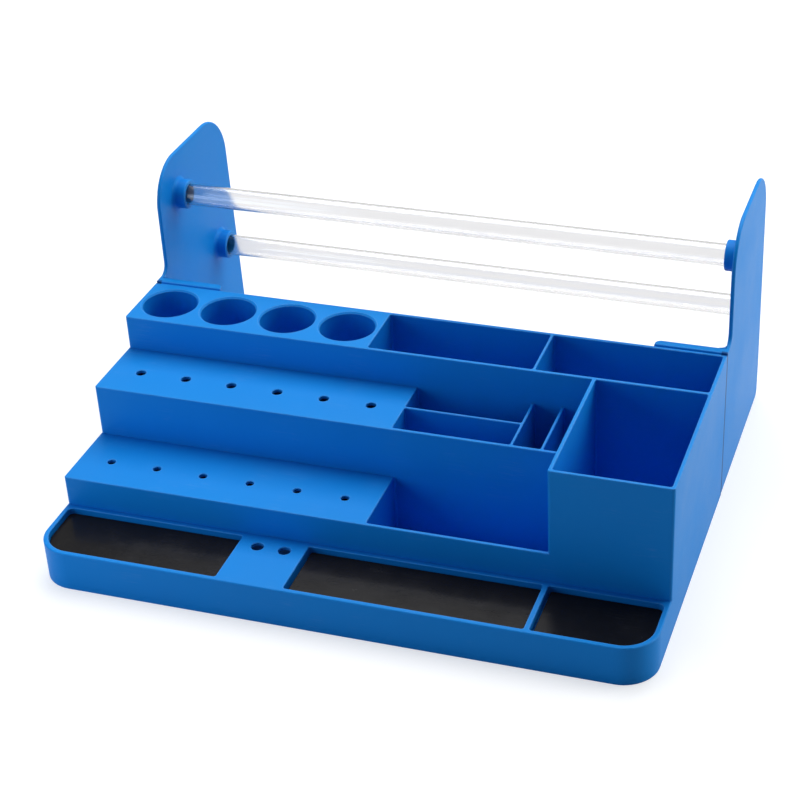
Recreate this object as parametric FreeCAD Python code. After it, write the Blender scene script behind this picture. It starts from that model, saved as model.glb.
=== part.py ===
import FreeCAD, Part
import math
import os

# Bench organizer for small hand tools: a one-piece stepped body, two side brackets
# screwed to its back, two clear tubes between the brackets and three loose mats.
# X runs left to right, Y from front to back, Z up. Sizes are set out from the body's
# front left corner at bench level, and save() moves the origin to the bottom centre.

# Body
width = 300.0
tray_height = 20.5
first_deck_height = 36.0
second_deck_height = 63.0
third_deck_height = 81.0
tray_depth = 38.5
first_deck_depth = 41.0
second_deck_depth = 39.5
third_deck_depth = 37.5
wall = 1.8
divider = 1.3
floor_thickness = 2.0
floor_lift = 1.0
edge_round = 1.5
rim_round = 0.5
rim_bevel = 0.3
compartment_corner = 1.2
slot_corner = 0.8

# Tray at the front
tray_wall = 2.5
tray_corner = 17.0
tray_rim_round = 0.8
tray_ledge = 2.8
tray_divider = 2.6
left_pocket_length = 91.2
bridge_length = 33.6
centre_pocket_length = 113.9
pocket_rear_corner = 3.0
pocket_inner_corner = 1.2
bridge_hole_radius = 3.0
bridge_hole_spacing = 13.6
bridge_hole_setback = 9.0

# Loose mats in the tray
mat_thickness = 3.0
mat_below_rim = 2.8
mat_gap = 0.4
mat_end_gap = 1.2
mat_edge_round = 0.3

# Rows of tool holes in the first two decks
tool_hole_count = 6
tool_hole_pitch = 24.35
tool_hole_inset = 16.8
first_row_radius = 2.0
first_row_setback = 18.3
second_row_radius = 2.5
second_row_setback = 18.2
hole_bevel = 0.3

# Bottle wells in the third deck
well_count = 4
well_radius = 14.0
well_pitch = 32.1
well_inset = 16.5
well_depth = 38.0
well_wall = 3.0
well_chamfer = 0.8

# Compartments right of the decks
tool_deck_length = 155.0
well_deck_length = 129.6
long_slot_length = 57.9
short_slot_width = 13.5
tall_bin_width = 57.4
rear_left_bin_length = 83.4

# Side brackets
bracket_height = 139.5
bracket_depth = 100.0
bracket_rear_lean = 6.0
rear_lean_start = 20.0
rear_bend_round = 60.0
bracket_plate = 2.0
bracket_edge_round = 0.9
bracket_front_round = 23.0
bracket_rear_round = 26.0
bracket_foot_round = 4.0
neck_setback = 10.5
neck_round = 5.0
flange_width = 36.0
flange_thickness = 4.5
flange_rise = 1.0
flange_end_round = 3.0
flange_rim_round = 0.6
flange_web = 3.0
boss_length = 6.5
boss_radius = 7.6
boss_root_round = 2.0
boss_rim_round = 0.6
socket_depth = 7.0

# Clear tubes
tube_radius = 5.55
tube_wall = 0.7
tube_running_gap = 0.08
tube_end_gap = 0.5
tube_end_chamfer = 0.3
upper_tube_setback = 33.2
upper_tube_height = 117.0
lower_tube_setback = 75.3
lower_tube_height = 66.7

# Screws through the flanges into pillars on the body's rear wall
screw_inset = 30.0
lower_screw_height = 14.0
upper_screw_height = 50.0
screw_radius = 1.5
screw_pilot_radius = 1.3
screw_hole_gap = 0.2
screw_length = 12.0
screw_point = 2.0
screw_head_radius = 2.9
screw_head_height = 2.1
screw_head_round = 0.9
screw_slot_width = 0.9
screw_slot_length = 3.4
screw_slot_depth = 1.3
pillar_width = 9.0
pillar_depth = 7.0
pillar_top_margin = 5.0

# Places worked out from the sizes above
first_riser = tray_depth
second_riser = first_riser + first_deck_depth
third_riser = second_riser + second_deck_depth
body_depth = third_riser + third_deck_depth
overall_depth = body_depth + bracket_depth
compartment_floor = floor_lift + floor_thickness
mat_floor = tray_height - mat_below_rim - mat_thickness
pocket_rear = tray_depth - tray_ledge
bridge_left = tray_wall + left_pocket_length
bridge_right = bridge_left + bridge_length
tray_divider_left = bridge_right + centre_pocket_length
tray_divider_right = tray_divider_left + tray_divider
tall_bin_left = width - tall_bin_width
long_slot_right = tool_deck_length + long_slot_length
short_slot_left = long_slot_right + divider
short_slot_right = short_slot_left + short_slot_width
well_row = third_riser + third_deck_depth / 2
well_floor = third_deck_height - well_depth
pillar_top = upper_screw_height + pillar_top_margin
flange_back = body_depth + flange_thickness
flange_top = third_deck_height + flange_rise


def rounded_face(corners, place):
    """Face inside a closed outline. Each corner is (a, b, rounding radius), and
    place turns (a, b) into a point in space."""
    edges = []
    starts = []
    ends = []
    middles = []
    for index, (a, b, radius) in enumerate(corners):
        corner = FreeCAD.Vector(a, b, 0)
        before = FreeCAD.Vector(*corners[index - 1][:2], 0) - corner
        after = FreeCAD.Vector(*corners[(index + 1) % len(corners)][:2], 0) - corner
        before.normalize()
        after.normalize()
        half_angle = before.getAngle(after) / 2
        cut_back = radius / math.tan(half_angle)
        inward = before + after
        inward.normalize()
        to_arc = radius / math.sin(half_angle) - radius
        starts.append(place(*(corner + before * cut_back)[:2]))
        ends.append(place(*(corner + after * cut_back)[:2]))
        middles.append(place(*(corner + inward * to_arc)[:2]))
    next_starts = starts[1:] + starts[:1]
    for (*_, radius), start, middle, end, next_start in zip(corners, starts, middles, ends, next_starts):
        if radius > 0:
            edges.append(Part.Arc(start, middle, end).toShape())
        edges.append(Part.LineSegment(end, next_start).toShape())
    return Part.Face(Part.Wire(edges))


def upright_outline(x_span, y_span, height, rounds):
    """Level rectangle. Its corners are rounded in the order front left, front right,
    rear right, rear left."""
    (left, right), (front, rear) = x_span, y_span
    corners = [
        (left, front, rounds[0]),
        (right, front, rounds[1]),
        (right, rear, rounds[2]),
        (left, rear, rounds[3]),
    ]
    return rounded_face(corners, lambda x, y: FreeCAD.Vector(x, y, height))


def block(x_span, y_span, z_span, rounds=(0, 0, 0, 0)):
    """Upright block with rounded vertical edges."""
    bottom, top = z_span
    return upright_outline(x_span, y_span, bottom, rounds).extrude(FreeCAD.Vector(0, 0, top - bottom))


def rounded_top(shape, radius):
    """The shape with all the edges of its flat top rounded."""
    rim = [edge for edge in shape.Edges if edge.BoundBox.ZMin > shape.BoundBox.ZMax - radius]
    return shape.makeFillet(radius, rim)


def pocket(x_span, y_span, z_span, corner_rounds, raised=()):
    """Space of a pocket or bin, bevelled open at its rim. The sides named in raised
    have no rim, because their walls run on up past the pocket's top."""
    (left, right), (front, rear), (_, top) = x_span, y_span, z_span
    mouth_height = (top - rim_bevel, top + rim_bevel)
    mouth = block(
        (left - rim_bevel, right + rim_bevel),
        (front - rim_bevel, rear + rim_bevel),
        mouth_height,
        [radius + rim_bevel for radius in corner_rounds],
    )
    foot = [edge for edge in mouth.Edges if edge.BoundBox.ZMax < top]
    spread = {
        side: 0 if side in raised else rim_bevel
        for side in ("left", "right", "front", "rear")
    }
    bevelled_sides = block(
        (left - spread["left"], right + spread["right"]),
        (front - spread["front"], rear + spread["rear"]),
        mouth_height,
    )
    bevel = mouth.makeChamfer(rim_bevel, foot).common(bevelled_sides)
    return [block(x_span, y_span, z_span, corner_rounds), bevel]


def upright_cylinder(radius, x, y, bottom, top):
    return Part.makeCylinder(radius, top - bottom, FreeCAD.Vector(x, y, bottom))


def bevelled_hole(radius, bevel, x, y, bottom, top):
    """Space of a round upright hole with a bevelled mouth."""
    mouth_foot = FreeCAD.Vector(x, y, top - bevel)
    return [
        upright_cylinder(radius, x, y, bottom, top),
        Part.makeCone(radius, radius + bevel, bevel, mouth_foot),
    ]


def turned(outline, point, direction):
    """Solid of revolution. The outline is (radius, distance along the axis, rounding)."""
    face = rounded_face(outline, lambda radius, along: FreeCAD.Vector(radius, 0, along))
    solid = face.revolve(FreeCAD.Vector(0, 0, 0), FreeCAD.Vector(0, 0, 1), 360)
    turn = FreeCAD.Rotation(FreeCAD.Vector(0, 0, 1), direction)
    solid.Placement = FreeCAD.Placement(point, turn)
    return solid


def mirrored(shape):
    return shape.mirror(FreeCAD.Vector(width / 2, 0, 0), FreeCAD.Vector(1, 0, 0))


def body_outside():
    """Stepped outside of the body, with the tall bin rising from the first step."""
    tray = block(
        (0, width),
        (0, body_depth),
        (0, tray_height),
        (tray_corner, tray_corner, 0, 0),
    )
    risers = [
        (first_riser, first_deck_height),
        (second_riser, second_deck_height),
        (third_riser, third_deck_height),
    ]
    steps = [
        block((0, width), (front, body_depth), (0, top), (edge_round, edge_round, 0, 0))
        for front, top in risers
    ]
    tall_bin = block(
        (tall_bin_left, width),
        (first_riser, body_depth),
        (0, third_deck_height),
        (edge_round, edge_round, 0, 0),
    )
    raised_blocks = [rounded_top(shape, rim_round) for shape in (*steps, tall_bin)]
    return rounded_top(tray, tray_rim_round).fuse(raised_blocks)


def tray_pockets():
    """Spaces of the three tray pockets, above the floors the mats lie on."""
    outer_corner = tray_corner - tray_wall
    inner = pocket_inner_corner
    rear = pocket_rear_corner
    depth = (tray_wall, pocket_rear)
    height = (mat_floor, tray_height)
    return [
        *pocket((tray_wall, bridge_left), depth, height, (outer_corner, inner, inner, rear)),
        *pocket((bridge_right, tray_divider_left), depth, height, (inner, inner, inner, inner)),
        *pocket(
            (tray_divider_right, width - tray_wall),
            depth,
            height,
            (inner, outer_corner, rear, inner),
        ),
    ]


def compartments():
    """Open bins and slots right of the decks, all down to one floor."""
    mid_slot = (second_riser + wall + third_riser) / 2
    rear_divider = well_deck_length + rear_left_bin_length
    first = (compartment_floor, first_deck_height)
    second = (compartment_floor, second_deck_height)
    third = (compartment_floor, third_deck_height)
    large = (compartment_corner,) * 4
    small = (slot_corner,) * 4
    second_depth = (second_riser + wall, third_riser)
    third_depth = (third_riser + wall, body_depth - wall)
    return [
        *pocket(
            (tool_deck_length, tall_bin_left),
            (first_riser + wall, second_riser),
            first,
            large,
            ("right", "rear"),
        ),
        *pocket(
            (tool_deck_length, long_slot_right),
            (second_riser + wall, mid_slot - divider / 2),
            second,
            small,
        ),
        *pocket(
            (tool_deck_length, long_slot_right),
            (mid_slot + divider / 2, third_riser),
            second,
            small,
            ("rear",),
        ),
        *pocket((short_slot_left, short_slot_right), second_depth, second, small, ("rear",)),
        *pocket(
            (short_slot_right + divider, tall_bin_left),
            second_depth,
            second,
            small,
            ("right", "rear"),
        ),
        *pocket((well_deck_length, rear_divider), third_depth, third, large),
        *pocket((rear_divider + divider, width - wall), third_depth, third, large),
        *pocket(
            (tall_bin_left + wall, width - wall),
            (first_riser + wall, third_riser),
            third,
            large,
        ),
    ]


def screw_places():
    """Screw axes in the flanges, as x and z, left bracket first."""
    return [
        (x, z)
        for x in (screw_inset, width - screw_inset)
        for z in (lower_screw_height, upper_screw_height)
    ]


def well_places():
    return [well_inset + number * well_pitch for number in range(well_count)]


def underside():
    """Open hollow under the tray and the decks, and the shallow relief under the
    compartment floors. The cups of the wells and the left screw pillar stay solid."""
    tray_inside = tray_corner - tray_wall
    under_tray = block(
        (tray_wall, width - tray_wall),
        (tray_wall, first_riser),
        (0, mat_floor - floor_thickness),
        (tray_inside, tray_inside, 0, 0),
    )
    under_bridge = block(
        (bridge_left + wall, bridge_right - wall),
        (tray_wall, pocket_rear),
        (0, tray_height - wall),
    )
    deck_right = tool_deck_length - wall
    under_decks = [
        block((wall, deck_right), (first_riser + wall, third_riser), (0, first_deck_height - wall)),
        block((wall, deck_right), (second_riser + wall, third_riser), (0, second_deck_height - wall)),
    ]
    well_deck_right = well_deck_length - wall
    under_wells = block(
        (wall, well_deck_right),
        (third_riser, body_depth - wall),
        (0, third_deck_height - wall),
    )
    behind_third_riser = block(
        (wall, well_deck_right),
        (third_riser, third_riser + wall),
        (second_deck_height - wall, third_deck_height - wall),
    )
    cup_radius = well_radius + well_wall
    cup_bottom = well_floor - floor_thickness
    cups = [
        upright_cylinder(cup_radius, x, well_row, cup_bottom, third_deck_height)
        for x in well_places()
    ]
    pillar = block(
        (screw_inset - pillar_width / 2, screw_inset + pillar_width / 2),
        (body_depth - wall - pillar_depth, body_depth),
        (0, pillar_top),
    )
    under_wells = under_wells.cut([behind_third_riser, pillar, *cups])
    relief = [
        block(
            (tool_deck_length, width - wall),
            (first_riser + wall, body_depth - wall),
            (0, floor_lift),
        ),
        block(
            (well_deck_length, tool_deck_length),
            (third_riser + wall, body_depth - wall),
            (0, floor_lift),
        ),
    ]
    return [under_tray, under_bridge, *under_decks, under_wells, *relief]


def tool_holes():
    """Holes through the two tool decks and through the bridge of the tray."""
    holes = []
    rows = [
        (first_row_radius, first_riser + first_row_setback, first_deck_height),
        (second_row_radius, second_riser + second_row_setback, second_deck_height),
    ]
    for radius, y, top in rows:
        for number in range(tool_hole_count):
            x = tool_hole_inset + number * tool_hole_pitch
            holes += bevelled_hole(radius, hole_bevel, x, y, top - 2 * wall, top)
    bridge_middle = (bridge_left + bridge_right) / 2
    for side in (-1, 1):
        x = bridge_middle + side * bridge_hole_spacing / 2
        y = first_riser - bridge_hole_setback
        bottom = tray_height - 2 * wall
        holes += bevelled_hole(bridge_hole_radius, hole_bevel, x, y, bottom, tray_height)
    return holes


def bottle_wells():
    wells = []
    for x in well_places():
        wells += bevelled_hole(well_radius, well_chamfer, x, well_row, well_floor, third_deck_height)
    return wells


def body():
    """Whole moulded body, with pilot holes for the screws in its rear pillars."""
    shape = body_outside().cut([*tray_pockets(), *compartments(), *underside()])
    right_pillar = block(
        (width - screw_inset - pillar_width / 2, width - screw_inset + pillar_width / 2),
        (body_depth - wall - pillar_depth, body_depth),
        (floor_lift, pillar_top),
    )
    shape = shape.fuse(right_pillar)
    pilot_length = screw_length - flange_thickness + screw_head_round
    pilots = [
        Part.makeCylinder(
            screw_pilot_radius,
            pilot_length,
            FreeCAD.Vector(x, body_depth - pilot_length, z),
            FreeCAD.Vector(0, 1, 0),
        )
        for x, z in screw_places()
    ]
    return shape.cut([*bottle_wells(), *tool_holes(), *pilots]).removeSplitter()


def tube_places():
    """Tube axes, as y and z, upper tube first."""
    return [
        (body_depth + upper_tube_setback, upper_tube_height),
        (body_depth + lower_tube_setback, lower_tube_height),
    ]


def right_bracket():
    """Side plate with a flange against the body's back and two tube bosses."""
    plate_inside = width - bracket_plate
    neck = body_depth + neck_setback
    profile = [
        (body_depth, 0, 0),
        (body_depth, flange_top, 0),
        (neck, flange_top, neck_round),
        (neck, bracket_height, bracket_front_round),
        (overall_depth - bracket_rear_lean, bracket_height, bracket_rear_round),
        (overall_depth, rear_lean_start, rear_bend_round),
        (overall_depth, 0, bracket_foot_round),
    ]
    face = rounded_face(profile, lambda y, z: FreeCAD.Vector(plate_inside, y, z))
    plate = face.extrude(FreeCAD.Vector(bracket_plate, 0, 0))
    plate_edges = [edge for edge in plate.Edges if edge.BoundBox.XLength < bracket_plate / 2]
    plate = plate.makeFillet(bracket_edge_round, plate_edges)
    flange = block(
        (width - flange_width, width - bracket_edge_round),
        (body_depth, flange_back),
        (0, flange_top),
        (0, 0, 0, flange_end_round),
    )
    flange = rounded_top(flange, flange_rim_round)
    web = block(
        (plate_inside - flange_web, plate_inside),
        (flange_back, flange_back + flange_web),
        (0, flange_top),
    )
    web = web.cut(
        upright_cylinder(
            flange_web,
            plate_inside - flange_web,
            flange_back + flange_web,
            0,
            flange_top,
        )
    )
    inward = FreeCAD.Vector(-1, 0, 0)
    boss_foot = boss_radius + 2 * boss_root_round
    boss_outline = [
        (0, -bracket_plate / 2, 0),
        (boss_foot, -bracket_plate / 2, 0),
        (boss_foot, 0, 0),
        (boss_radius, 0, boss_root_round),
        (boss_radius, boss_length, boss_rim_round),
        (0, boss_length, 0),
    ]
    bosses = [
        turned(boss_outline, FreeCAD.Vector(plate_inside, y, z), inward)
        for y, z in tube_places()
    ]
    sockets = [
        Part.makeCylinder(
            tube_radius + tube_running_gap,
            socket_depth,
            FreeCAD.Vector(plate_inside - boss_length, y, z),
            FreeCAD.Vector(1, 0, 0),
        )
        for y, z in tube_places()
    ]
    screw_holes = [
        Part.makeCylinder(
            screw_radius + screw_hole_gap,
            flange_thickness,
            FreeCAD.Vector(x, body_depth, z),
            FreeCAD.Vector(0, 1, 0),
        )
        for x, z in screw_places()
        if x > width / 2
    ]
    shape = plate.fuse([flange, web, *bosses])
    return shape.cut([*sockets, *screw_holes]).removeSplitter()


def tube(y, z):
    """Clear tube held by its ends in the sockets, free to turn."""
    socket_end = bracket_plate + boss_length - socket_depth
    start = socket_end + tube_end_gap
    length = width - 2 * start
    bore_radius = tube_radius - tube_wall
    outline = [
        (bore_radius, 0, 0),
        (tube_radius - tube_end_chamfer, 0, 0),
        (tube_radius, tube_end_chamfer, 0),
        (tube_radius, length - tube_end_chamfer, 0),
        (tube_radius - tube_end_chamfer, length, 0),
        (bore_radius, length, 0),
    ]
    return turned(outline, FreeCAD.Vector(start, y, z), FreeCAD.Vector(1, 0, 0))


def mat(x_span, rounds):
    """Mat lying loose on a pocket floor."""
    plain = block(
        x_span,
        (tray_wall + mat_gap, pocket_rear - mat_gap),
        (mat_floor, mat_floor + mat_thickness),
        rounds,
    )
    return rounded_top(plain, mat_edge_round)


def mats():
    """The three mats, each cut a little short of the bridge or divider beside it."""
    outer = tray_corner - tray_wall - mat_gap
    rear = pocket_rear_corner - mat_gap
    inner = pocket_inner_corner - mat_gap
    left_span = (tray_wall + mat_gap, bridge_left - mat_end_gap)
    centre_span = (bridge_right + mat_end_gap, tray_divider_left - mat_gap)
    right_span = (tray_divider_right + mat_end_gap, width - tray_wall - mat_gap)
    return {
        "left_mat": mat(left_span, (outer, inner, inner, rear)),
        "centre_mat": mat(centre_span, (inner, inner, inner, inner)),
        "right_mat": mat(right_span, (inner, outer, rear, inner)),
    }


def screw(x, z):
    """Pan head screw with a cross recess, driven in from behind the flange."""
    outline = [
        (0, -screw_length, 0),
        (screw_radius, screw_point - screw_length, 0),
        (screw_radius, 0, 0),
        (screw_head_radius, 0, 0),
        (screw_head_radius, screw_head_height, screw_head_round),
        (0, screw_head_height, 0),
    ]
    shape = turned(outline, FreeCAD.Vector(0, 0, 0), FreeCAD.Vector(0, 0, 1))
    slots = [
        Part.makeBox(
            length,
            breadth,
            screw_slot_depth,
            FreeCAD.Vector(-length / 2, -breadth / 2, screw_head_height - screw_slot_depth),
        )
        for length, breadth in (
            (screw_slot_length, screw_slot_width),
            (screw_slot_width, screw_slot_length),
        )
    ]
    shape = shape.cut(slots)
    backward = FreeCAD.Rotation(FreeCAD.Vector(0, 0, 1), FreeCAD.Vector(0, 1, 0))
    shape.Placement = FreeCAD.Placement(FreeCAD.Vector(x, flange_back, z), backward)
    return shape


def save(name, shape):
    """Write one sub-part, with the origin moved to the bottom centre of the whole."""
    moved = shape.copy()
    moved.translate(FreeCAD.Vector(-width / 2, -overall_depth / 2, 0))
    moved.exportStep("parts/" + name + ".step")


os.makedirs("parts", exist_ok=True)
save("body", body())
save("right_bracket", right_bracket())
save("left_bracket", mirrored(right_bracket()))
for tube_name, place in zip(("upper_tube", "lower_tube"), tube_places()):
    save(tube_name, tube(*place))
for mat_name, shape in mats().items():
    save(mat_name, shape)
save("bracket_screws", Part.makeCompound([screw(x, z) for x, z in screw_places()]))
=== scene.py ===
import math

import bpy
from mathutils import Matrix, Vector

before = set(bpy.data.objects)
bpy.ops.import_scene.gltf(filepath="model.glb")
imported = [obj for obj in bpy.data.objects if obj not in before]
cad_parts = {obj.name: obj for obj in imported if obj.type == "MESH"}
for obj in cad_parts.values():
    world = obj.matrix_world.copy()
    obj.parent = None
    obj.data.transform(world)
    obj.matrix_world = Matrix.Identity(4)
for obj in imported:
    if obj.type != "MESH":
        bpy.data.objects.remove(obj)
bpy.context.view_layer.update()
bpy.ops.object.select_all(action="DESELECT")

# ---------------------------------------------------------------- body and brackets
# The stepped body and the two side brackets are injection moulded in one blue plastic, in
# a mould with a satin skin. Each bracket's flange is screwed flat against the body's back.
# Raised edges are pale, partly rubbed by wear and partly a painted highlight along the rims.
# Creases carry painted shade, and a painted shade line runs in the joint beside each bracket.


def shader_group(name, inputs, outputs):
    """Empty node group with plain number sockets. Returns it with its inner ends."""
    group = bpy.data.node_groups.new(name, "ShaderNodeTree")
    for label, value in inputs.items():
        socket = group.interface.new_socket(label, in_out="INPUT", socket_type="NodeSocketFloat")
        socket.default_value = value
    for label in outputs:
        group.interface.new_socket(label, in_out="OUTPUT", socket_type="NodeSocketFloat")
    given = group.nodes.new("NodeGroupInput").outputs
    result = group.nodes.new("NodeGroupOutput").inputs
    return group, given, result


def feed(tree, socket, value):
    """Give a socket either a number or another node's output."""
    if isinstance(value, bpy.types.NodeSocket):
        tree.links.new(value, socket)
    else:
        socket.default_value = value


def reckon(tree, operation, *values):
    """Output of a Math node."""
    node = tree.nodes.new("ShaderNodeMath")
    node.operation = operation
    for socket, value in zip(node.inputs, values):
        feed(tree, socket, value)
    return node.outputs[0]


def object_place(tree, stretch=(1.0, 1.0, 1.0), turn=(0.0, 0.0, 0.0)):
    """Object coordinates, stretched and turned."""
    place = tree.nodes.new("ShaderNodeTexCoord")
    mapping = tree.nodes.new("ShaderNodeMapping")
    mapping.inputs["Scale"].default_value = stretch
    mapping.inputs["Rotation"].default_value = turn
    tree.links.new(place.outputs["Object"], mapping.inputs["Vector"])
    return mapping.outputs["Vector"]


def noise(tree, place, size, detail=3.0, roughness=0.6):
    """Noise whose lumps are about this size, in metres."""
    node = tree.nodes.new("ShaderNodeTexNoise")
    node.inputs["Detail"].default_value = detail
    node.inputs["Roughness"].default_value = roughness
    tree.links.new(place, node.inputs["Vector"])
    feed(tree, node.inputs["Scale"], reckon(tree, "DIVIDE", 1.0, size))
    return node.outputs["Fac"]


# Fine pitted grain of a moulded or calendered skin, and the broad cloudy flow under it.
fine_grain, given, result = shader_group(
    "fine_grain", {"Grain Size": 0.0004, "Flow Size": 0.05}, ("Grain", "Flow")
)
pits_to_grain = 0.7
pits_depth = 0.5
place = object_place(fine_grain)
pits = fine_grain.nodes.new("ShaderNodeTexVoronoi")
fine_grain.links.new(place, pits.inputs["Vector"])
pits_scale = reckon(fine_grain, "DIVIDE", pits_to_grain, given["Grain Size"])
feed(fine_grain, pits.inputs["Scale"], pits_scale)
pebbles = noise(fine_grain, place, given["Grain Size"], 2.0)
grain = reckon(fine_grain, "MULTIPLY_ADD", pits.outputs["Distance"], pits_depth, pebbles)
feed(fine_grain, result["Grain"], grain)
feed(fine_grain, result["Flow"], noise(fine_grain, place, given["Flow Size"], 4.0, 0.55))


def ramp(tree, value, low, high, to_low=0.0, to_high=1.0):
    """Output of a smooth Map Range from low..high to to_low..to_high."""
    node = tree.nodes.new("ShaderNodeMapRange")
    node.interpolation_type = "SMOOTHSTEP"
    feed(tree, node.inputs["Value"], value)
    feed(tree, node.inputs["From Min"], low)
    feed(tree, node.inputs["From Max"], high)
    feed(tree, node.inputs["To Min"], to_low)
    feed(tree, node.inputs["To Max"], to_high)
    return node.outputs["Result"]


# Outer edges rubbed by handling, which the blue plastic also uses as a painted highlight on its
# rims: where a rounded-off normal departs from the flat one, except in the creases, broken up by
# a noise.
worn_and_highlit_edges, given, result = shader_group(
    "worn_and_highlit_edges",
    {"Edge Width": 0.0008, "Breaks Size": 0.006, "Evenness": 0.5, "Crease": 0.0},
    ("Wear And Highlight",),
)
flat_agreement = 0.995
edge_agreement = 0.86
softened = worn_and_highlit_edges.nodes.new("ShaderNodeBevel")
softened.samples = 4
feed(worn_and_highlit_edges, softened.inputs["Radius"], given["Edge Width"])
facing = worn_and_highlit_edges.nodes.new("ShaderNodeNewGeometry")
agreement = worn_and_highlit_edges.nodes.new("ShaderNodeVectorMath")
agreement.operation = "DOT_PRODUCT"
feed(worn_and_highlit_edges, agreement.inputs[0], softened.outputs["Normal"])
feed(worn_and_highlit_edges, agreement.inputs[1], facing.outputs["Normal"])
edge = ramp(worn_and_highlit_edges, agreement.outputs["Value"], flat_agreement, edge_agreement)
outer = ramp(worn_and_highlit_edges, given["Crease"], 0.35, 0.05)
breaks = noise(worn_and_highlit_edges, object_place(worn_and_highlit_edges), given["Breaks Size"], 4.0, 0.65)
lasting = ramp(worn_and_highlit_edges, breaks, 0.3, 0.66, given["Evenness"], 1.0)
wear_and_highlight = reckon(worn_and_highlit_edges, "MULTIPLY", reckon(worn_and_highlit_edges, "MULTIPLY", edge, outer), lasting)
feed(worn_and_highlit_edges, result["Wear And Highlight"], wear_and_highlight)


def axes(tree, vector):
    """X, Y and Z of a vector."""
    node = tree.nodes.new("ShaderNodeSeparateXYZ")
    tree.links.new(vector, node.inputs["Vector"])
    return node.outputs


# Dust: a thin film on what faces up and a few specks. Crease is an occlusion mask of creases
# and recesses, which the materials use for painted shade.
dust_and_crease_shade, given, result = shader_group(
    "dust_and_crease_shade",
    {"Crease Reach": 0.003, "Film Size": 0.03, "Speck Spacing": 0.02, "Speck Size": 0.0004},
    ("Crease", "Film", "Specks"),
)
shelter = dust_and_crease_shade.nodes.new("ShaderNodeAmbientOcclusion")
shelter.samples = 4
shelter.only_local = True
feed(dust_and_crease_shade, shelter.inputs["Distance"], given["Crease Reach"])
feed(dust_and_crease_shade, result["Crease"], ramp(dust_and_crease_shade, shelter.outputs["AO"], 0.95, 0.35))
facing = dust_and_crease_shade.nodes.new("ShaderNodeNewGeometry")
level = ramp(dust_and_crease_shade, axes(dust_and_crease_shade, facing.outputs["Normal"])["Z"], 0.6, 0.98)
place = object_place(dust_and_crease_shade)
clouds = noise(dust_and_crease_shade, place, given["Film Size"], 5.0, 0.7)
film = reckon(dust_and_crease_shade, "MULTIPLY", level, ramp(dust_and_crease_shade, clouds, 0.38, 0.72))
feed(dust_and_crease_shade, result["Film"], film)
cells = dust_and_crease_shade.nodes.new("ShaderNodeTexVoronoi")
feed(dust_and_crease_shade, cells.inputs["Vector"], place)
cells_scale = reckon(dust_and_crease_shade, "DIVIDE", 1.0, given["Speck Spacing"])
feed(dust_and_crease_shade, cells.inputs["Scale"], cells_scale)
reach = reckon(dust_and_crease_shade, "MULTIPLY", cells.outputs["Distance"], given["Speck Spacing"])
radii = reckon(dust_and_crease_shade, "DIVIDE", reach, given["Speck Size"])
specks = reckon(dust_and_crease_shade, "MULTIPLY", level, ramp(dust_and_crease_shade, radii, 1.0, 0.5))
feed(dust_and_crease_shade, result["Specks"], specks)

# Hairline scratches: long thin noises laid across each other, most of them faded out.
hairlines, given, result = shader_group(
    "hairlines", {"Spacing": 0.002, "Amount": 0.5}, ("Scratches",)
)
line_width = 0.012
fade_size = 0.018
strokes = 0.0
for turn in ((0.0, 0.3, 0.5), (0.2, 0.0, -0.9), (0.5, -0.4, 1.9)):
    lengthwise = object_place(hairlines, (0.03, 1.0, 1.0), turn)
    stroke = noise(hairlines, lengthwise, given["Spacing"], 2.0)
    from_middle = reckon(hairlines, "ABSOLUTE", reckon(hairlines, "SUBTRACT", stroke, 0.5))
    line = ramp(hairlines, from_middle, line_width, 0.0)
    strokes = reckon(hairlines, "MAXIMUM", line, strokes)
faded = ramp(hairlines, noise(hairlines, object_place(hairlines), fade_size), 0.5, 0.7)
kept = reckon(hairlines, "MULTIPLY", strokes, faded)
feed(hairlines, result["Scratches"], reckon(hairlines, "MULTIPLY", kept, given["Amount"]))


def new_material(name):
    """Material with nodes. Returns it with its tree and shader."""
    material = bpy.data.materials.new(name)
    material.use_nodes = True
    return material, material.node_tree, material.node_tree.nodes["Principled BSDF"]


def placed(tree, group, **values):
    """A node group set into a material with its own values."""
    node = tree.nodes.new("ShaderNodeGroup")
    node.node_tree = group
    for label, value in values.items():
        feed(tree, node.inputs[label.replace("_", " ")], value)
    return node.outputs


def summed(tree, start, *shares):
    """A start value plus each mask times its share."""
    total = start
    for mask, share in shares:
        total = reckon(tree, "MULTIPLY_ADD", mask, share, total)
    return total


def blended(tree, factor, first, second):
    """Colour between two colours, each plain or from another node."""
    node = tree.nodes.new("ShaderNodeMix")
    node.data_type = "RGBA"
    for label, value in (("Factor", factor), ("A", first), ("B", second)):
        socket = [s for s in node.inputs if s.name == label and s.enabled][0]
        feed(tree, socket, (*value, 1.0) if isinstance(value, tuple) else value)
    return [s for s in node.outputs if s.enabled][0]


def tinted(tree, tone, colour, *shares):
    """A tone with a colour laid over it by the sum of these masks and shares."""
    return blended(tree, summed(tree, 0.0, *shares), tone, colour)


def raised(tree, height, strength, distance):
    """Normal from a height."""
    bump = tree.nodes.new("ShaderNodeBump")
    bump.inputs["Strength"].default_value = strength
    bump.inputs["Distance"].default_value = distance
    tree.links.new(height, bump.inputs["Height"])
    return bump.outputs["Normal"]


def finish_nodes(material, *node_names):
    """Put the material on every slot of these pieces."""
    for node_name in node_names:
        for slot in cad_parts[node_name].material_slots:
            slot.material = material


moulded_blue = (0.002, 0.238, 0.72)
cloudy_blue = (0.004, 0.268, 0.78)
painted_crease_shade_blue = (0.001, 0.13, 0.49)
rubbed_and_highlit_blue = (0.15, 0.37, 0.8)
painted_joint_shade_blue = (0.001, 0.05, 0.22)
pale_dust = (0.45, 0.5, 0.55)

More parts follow.
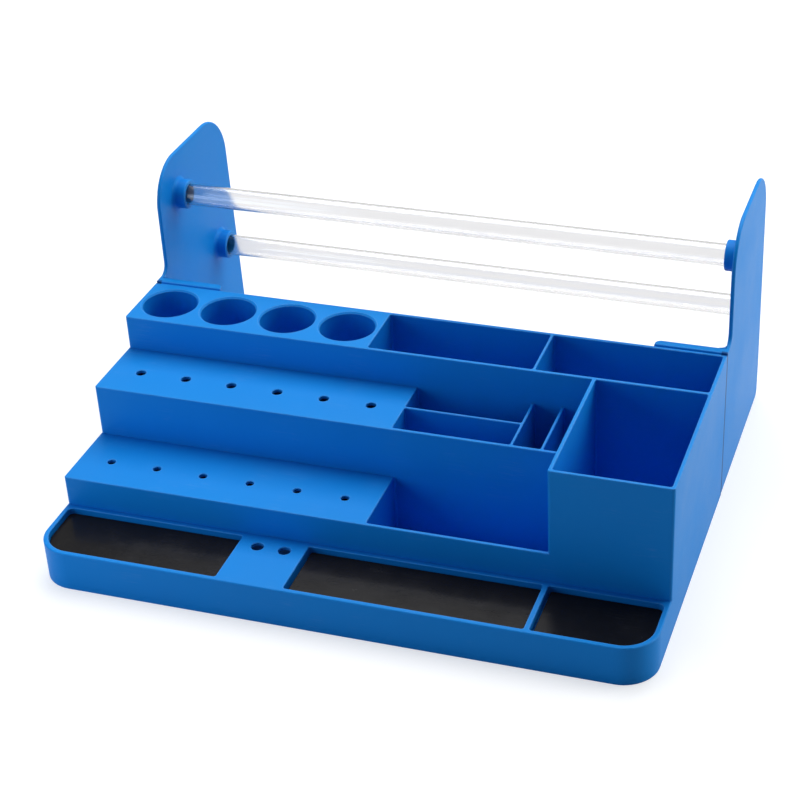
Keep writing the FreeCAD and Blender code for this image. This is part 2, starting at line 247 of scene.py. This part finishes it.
blue_plastic, tree, shader = new_material("satin_blue_plastic")
shader.inputs["Specular IOR Level"].default_value = 0.14
skin = placed(tree, fine_grain, Grain_Size=0.00045, Flow_Size=0.055)
dust_and_shade = placed(
    tree,
    dust_and_crease_shade,
    Crease_Reach=0.014,
    Film_Size=0.035,
    Speck_Spacing=0.03,
    Speck_Size=0.0003,
)
edges = placed(
    tree,
    worn_and_highlit_edges,
    Edge_Width=0.0009,
    Breaks_Size=0.009,
    Evenness=0.55,
    Crease=dust_and_shade["Crease"],
)
marks = placed(tree, hairlines, Spacing=0.0035, Amount=0.6)

# Painted shade in the joint, which runs up both sides of the body, in the plane of the brackets'
# front edges.
bracket_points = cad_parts["left_bracket"].data.vertices
body_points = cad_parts["body"].data.vertices
joint_y = min(vertex.co.y for vertex in bracket_points)
side_x = max(vertex.co.x for vertex in body_points)
side_depth = 0.003
shade_core = 0.0007
shade_reach = 0.0018
spot = axes(tree, object_place(tree))
from_joint = reckon(tree, "ABSOLUTE", reckon(tree, "SUBTRACT", spot["Y"], joint_y))
from_middle = reckon(tree, "ABSOLUTE", spot["X"])
on_side = reckon(tree, "GREATER_THAN", from_middle, side_x - side_depth)
painted_joint_shade = reckon(tree, "MULTIPLY", ramp(tree, from_joint, shade_reach, shade_core), on_side)

tone = blended(tree, skin["Flow"], moulded_blue, cloudy_blue)
# Painted shade: creases and recesses darkened towards a deeper blue by the occlusion mask.
tone = tinted(tree, tone, painted_crease_shade_blue, (dust_and_shade["Crease"], 0.5))
# Pale rims and scratches: rubbed wear, and along the rims also a painted highlight.
tone = tinted(tree, tone, rubbed_and_highlit_blue, (edges["Wear And Highlight"], 0.85))
tone = tinted(tree, tone, rubbed_and_highlit_blue, (marks["Scratches"], 0.2))
# Painted shade: a dark line in the joint beside each bracket, standing in for its shadow.
tone = tinted(tree, tone, painted_joint_shade_blue, (painted_joint_shade, 0.8))
tone = tinted(tree, tone, pale_dust, (dust_and_shade["Specks"], 0.4), (dust_and_shade["Film"], 0.01))
feed(tree, shader.inputs["Base Color"], tone)
rough = summed(
    tree,
    ramp(tree, skin["Flow"], 0.3, 0.7, 0.44, 0.54),
    (edges["Wear And Highlight"], -0.1),
    (dust_and_shade["Film"], 0.08),
    (marks["Scratches"], -0.06),
)
feed(tree, shader.inputs["Roughness"], rough)
height = summed(tree, skin["Grain"], (marks["Scratches"], -0.5))
feed(tree, shader.inputs["Normal"], raised(tree, height, 0.2, 0.0002))
finish_nodes(blue_plastic, "body", "left_bracket", "right_bracket")

# ---------------------------------------------------------------- clear tubes
# Two round tubes of extruded acrylic, sawn to length, that spools and rolls hang on.
# Their ends sit in blind sockets in the bracket bosses, where they turn freely.
# The die left faint lines along them, and spools have scuffed them a little.

thin_clear = (0.925, 0.924, 0.932)
bright_clear = (0.95, 0.949, 0.956)
scuff_white = (0.8, 0.8, 0.82)
acrylic_ior = 1.49
die_line_width = 0.0006
along_tube = (0.004, 1.0, 1.0)

clear_acrylic, tree, shader = new_material("polished_clear_acrylic")
shader.inputs["Transmission Weight"].default_value = 1.0
shader.inputs["IOR"].default_value = acrylic_ior
skin = placed(tree, fine_grain, Grain_Size=0.0005, Flow_Size=0.03)
dust_and_shade = placed(
    tree,
    dust_and_crease_shade,
    Crease_Reach=0.002,
    Film_Size=0.02,
    Speck_Spacing=0.02,
    Speck_Size=0.00025,
)
marks = placed(tree, hairlines, Spacing=0.002, Amount=0.8)
tone = blended(tree, skin["Flow"], thin_clear, bright_clear)
tone = tinted(tree, tone, scuff_white, (marks["Scratches"], 0.08), (dust_and_shade["Specks"], 0.3))
feed(tree, shader.inputs["Base Color"], tone)
rough = summed(
    tree,
    ramp(tree, skin["Flow"], 0.35, 0.7, 0.09, 0.14),
    (marks["Scratches"], 0.12),
)
feed(tree, shader.inputs["Roughness"], rough)
die_lines = noise(tree, object_place(tree, along_tube), die_line_width)
height = summed(tree, die_lines, (marks["Scratches"], -0.6))
feed(tree, shader.inputs["Normal"], raised(tree, height, 0.05, 0.0001))
finish_nodes(clear_acrylic, "upper_tube", "lower_tube")

# ---------------------------------------------------------------- mats
# Three loose mats of black rubber sheet, 3 mm thick, die cut to the tray pockets.
# The sheet was calendered, so its top has a low sheen, and it shows every speck of dust.

rubber_black = (0.0065, 0.006, 0.0068)
cloudy_black = (0.0095, 0.0085, 0.0088)
cut_edge_grey = (0.05, 0.05, 0.052)
warm_dust = (0.35, 0.33, 0.31)

black_rubber, tree, shader = new_material("black_mat_rubber")
shader.inputs["Specular IOR Level"].default_value = 0.12
skin = placed(tree, fine_grain, Grain_Size=0.0006, Flow_Size=0.03)
dust_and_shade = placed(
    tree,
    dust_and_crease_shade,
    Crease_Reach=0.003,
    Film_Size=0.025,
    Speck_Spacing=0.024,
    Speck_Size=0.0005,
)
edges = placed(
    tree,
    worn_and_highlit_edges,
    Edge_Width=0.0006,
    Breaks_Size=0.004,
    Evenness=0.3,
    Crease=dust_and_shade["Crease"],
)
marks = placed(tree, hairlines, Spacing=0.003, Amount=0.7)
tone = blended(tree, skin["Flow"], rubber_black, cloudy_black)
tone = tinted(tree, tone, cut_edge_grey, (edges["Wear And Highlight"], 0.5))
tone = tinted(
    tree,
    tone,
    warm_dust,
    (dust_and_shade["Specks"], 0.35),
    (dust_and_shade["Film"], 0.008),
    (marks["Scratches"], 0.04),
)
feed(tree, shader.inputs["Base Color"], tone)
rough = summed(tree, ramp(tree, skin["Flow"], 0.3, 0.7, 0.17, 0.24), (dust_and_shade["Film"], 0.05))
feed(tree, shader.inputs["Roughness"], rough)
height = summed(tree, skin["Grain"], (marks["Scratches"], -0.4))
feed(tree, shader.inputs["Normal"], raised(tree, height, 0.12, 0.0002))
finish_nodes(black_rubber, "left_mat", "centre_mat", "right_mat")

# ---------------------------------------------------------------- bracket screws
# Four zinc plated pan head screws, driven from behind through the flanges.
# They cut their own threads in the pillars of the body, and the driver has rubbed
# the plating at the slots.

dull_zinc = (0.52, 0.53, 0.55)
bright_zinc = (0.66, 0.66, 0.66)
rubbed_zinc = (0.8, 0.8, 0.79)
painted_slot_shade = (0.12, 0.11, 0.1)

screw_steel, tree, shader = new_material("zinc_plated_steel")
shader.inputs["Metallic"].default_value = 1.0
skin = placed(tree, fine_grain, Grain_Size=0.00025, Flow_Size=0.003)
dust_and_shade = placed(
    tree,
    dust_and_crease_shade,
    Crease_Reach=0.0012,
    Film_Size=0.004,
    Speck_Spacing=0.006,
    Speck_Size=0.0002,
)
edges = placed(
    tree,
    worn_and_highlit_edges,
    Edge_Width=0.0003,
    Breaks_Size=0.001,
    Evenness=0.4,
    Crease=dust_and_shade["Crease"],
)
marks = placed(tree, hairlines, Spacing=0.0006, Amount=0.7)
tone = blended(tree, skin["Flow"], dull_zinc, bright_zinc)
tone = tinted(tree, tone, rubbed_zinc, (edges["Wear And Highlight"], 0.6))
# Painted shade: the slots and other creases darkened by the occlusion mask.
tone = tinted(tree, tone, painted_slot_shade, (dust_and_shade["Crease"], 0.6))
feed(tree, shader.inputs["Base Color"], tone)
rough = summed(
    tree,
    ramp(tree, skin["Flow"], 0.3, 0.7, 0.26, 0.4),
    (marks["Scratches"], 0.15),
)
feed(tree, shader.inputs["Roughness"], rough)
height = summed(tree, skin["Grain"], (marks["Scratches"], -0.5))
feed(tree, shader.inputs["Normal"], raised(tree, height, 0.1, 0.0001))
finish_nodes(screw_steel, "bracket_screws")

# ---------------------------------------------------------------- bench and backdrop
# A plain pale table top under the organizer and a white surround, neither of them part of
# the object. Both show white to the camera and in the tubes, and the bench keeps the shadow.

bench_size = 8.0
bench_grey = (0.5, 0.5, 0.5, 1.0)
near_glow = 0.64
far_glow = 0.97
glow_start = 0.5
glow_end = 1.8

bpy.ops.object.select_all(action="DESELECT")
bpy.ops.mesh.primitive_plane_add(size=bench_size, location=(0, 0, 0))
bench = bpy.context.object
bench.name = "bench"
bench_paint, tree, shader = new_material("bench_paint")
shader.inputs["Base Color"].default_value = bench_grey
shader.inputs["Roughness"].default_value = 0.9
shader.inputs["Specular IOR Level"].default_value = 0.0
shader.inputs["Emission Color"].default_value = (1.0, 1.0, 1.0, 1.0)
path = tree.nodes.new("ShaderNodeLightPath").outputs
place = tree.nodes.new("ShaderNodeTexCoord").outputs["Object"]

# The bench doesn't glow below the body, so the tool holes stay dark.
dark_half_width = 0.148
dark_half_depth = 0.06
dark_setback = 0.035
spot = axes(tree, place)
from_middle = reckon(tree, "ABSOLUTE", reckon(tree, "ADD", spot["Y"], dark_setback))
beside = reckon(tree, "GREATER_THAN", reckon(tree, "ABSOLUTE", spot["X"]), dark_half_width)
before = reckon(tree, "GREATER_THAN", from_middle, dark_half_depth)
uncovered = reckon(tree, "MAXIMUM", beside, before)
seen = reckon(tree, "MAXIMUM", path["Is Camera Ray"], path["Is Glossy Ray"])
span = tree.nodes.new("ShaderNodeVectorMath")
span.operation = "LENGTH"
tree.links.new(place, span.inputs[0])
paling = ramp(tree, span.outputs["Value"], glow_start, glow_end, near_glow, far_glow)
glow = reckon(tree, "MULTIPLY", reckon(tree, "MULTIPLY", seen, uncovered), paling)
feed(tree, shader.inputs["Emission Strength"], glow)
plain_white = tree.nodes.new("ShaderNodeEmission")
through_tube = tree.nodes.new("ShaderNodeMixShader")
tree.links.new(path["Is Transmission Ray"], through_tube.inputs["Fac"])
tree.links.new(shader.outputs["BSDF"], through_tube.inputs[1])
tree.links.new(plain_white.outputs["Emission"], through_tube.inputs[2])
tree.links.new(through_tube.outputs["Shader"], tree.nodes["Material Output"].inputs["Surface"])
bench.data.materials.append(bench_paint)

surround_white = (1.0, 1.0, 1.0)
cool_fill = (0.55, 0.76, 1.0)
mirrored_strength = 0.45
through_tube_strength = 0.8
fill_strength = 0.12
least_shown = 0.1

world = bpy.data.worlds.new("studio")
world.use_nodes = True
bpy.context.scene.world = world
tree = world.node_tree
sky = tree.nodes["Background"]
path = tree.nodes.new("ShaderNodeLightPath").outputs
mirrored = reckon(tree, "MULTIPLY", path["Is Glossy Ray"], mirrored_strength)
bent = reckon(tree, "MULTIPLY", path["Is Transmission Ray"], through_tube_strength)
shown = reckon(tree, "MAXIMUM", path["Is Camera Ray"], reckon(tree, "MAXIMUM", mirrored, bent))
feed(tree, sky.inputs["Strength"], reckon(tree, "MAXIMUM", shown, fill_strength))
whitened = reckon(tree, "GREATER_THAN", shown, least_shown)
feed(tree, sky.inputs["Color"], blended(tree, whitened, cool_fill, surround_white))

# ---------------------------------------------------------------- lamps
# Three square softboxes on stands: a wide one overhead, a lower one at the right rear and
# a small cool one at the front left. All of them point at the middle of the organizer.

lamp_aim = Vector((0.0, 0.0, 0.05))
for name, size, power, colour, lamp_place in (
    ("overhead_softbox", 1.2, 20.5, (1.0, 1.0, 1.0), (-0.05, 0.5, 1.3)),
    ("right_softbox", 0.6, 6.2, (0.97, 1.0, 0.95), (1.05, 0.45, 0.35)),
    ("front_left_softbox", 0.3, 0.8, (0.69, 0.83, 1.0), (-0.38, -0.38, 0.18)),
):
    lamp_data = bpy.data.lights.new(name, "AREA")
    lamp_data.shape = "SQUARE"
    lamp_data.size = size
    lamp_data.energy = power
    lamp_data.color = colour
    lamp = bpy.data.objects.new(name, lamp_data)
    bpy.context.scene.collection.objects.link(lamp)
    lamp.location = lamp_place
    lamp.rotation_euler = (lamp_aim - Vector(lamp_place)).to_track_quat("-Z", "Y").to_euler()

# ---------------------------------------------------------------- camera
# A short telephoto view from the front right and above.
# The lens is shifted a little, and the camera leans slightly to one side.

camera_place = Vector((0.28301, -0.77112, 0.55504))
camera_yaw = math.radians(18.495)
camera_pitch = math.radians(32.563)
camera_roll = math.radians(2.077)
focal_length_pixels = 1942.465
frame_width_pixels = 800
forward = Vector((
    -math.sin(camera_yaw) * math.cos(camera_pitch),
    math.cos(camera_yaw) * math.cos(camera_pitch),
    -math.sin(camera_pitch),
))
level_right = Vector((math.cos(camera_yaw), math.sin(camera_yaw), 0.0))
level_down = forward.cross(level_right)
right = math.cos(camera_roll) * level_right + math.sin(camera_roll) * level_down
down = math.cos(camera_roll) * level_down - math.sin(camera_roll) * level_right
turn = Matrix((right, -down, -forward)).transposed()
camera_data = bpy.data.cameras.new("camera")
camera_data.sensor_width = 36.0
camera_data.lens = focal_length_pixels / frame_width_pixels * camera_data.sensor_width
camera_data.shift_x = -0.08
camera_data.shift_y = 0.0375
camera_data.clip_start = 0.05
camera = bpy.data.objects.new("camera", camera_data)
bpy.context.scene.collection.objects.link(camera)
camera.matrix_world = Matrix.Translation(camera_place) @ turn.to_4x4()
bpy.context.scene.camera = camera
bpy.context.scene.view_settings.view_transform = "Standard"
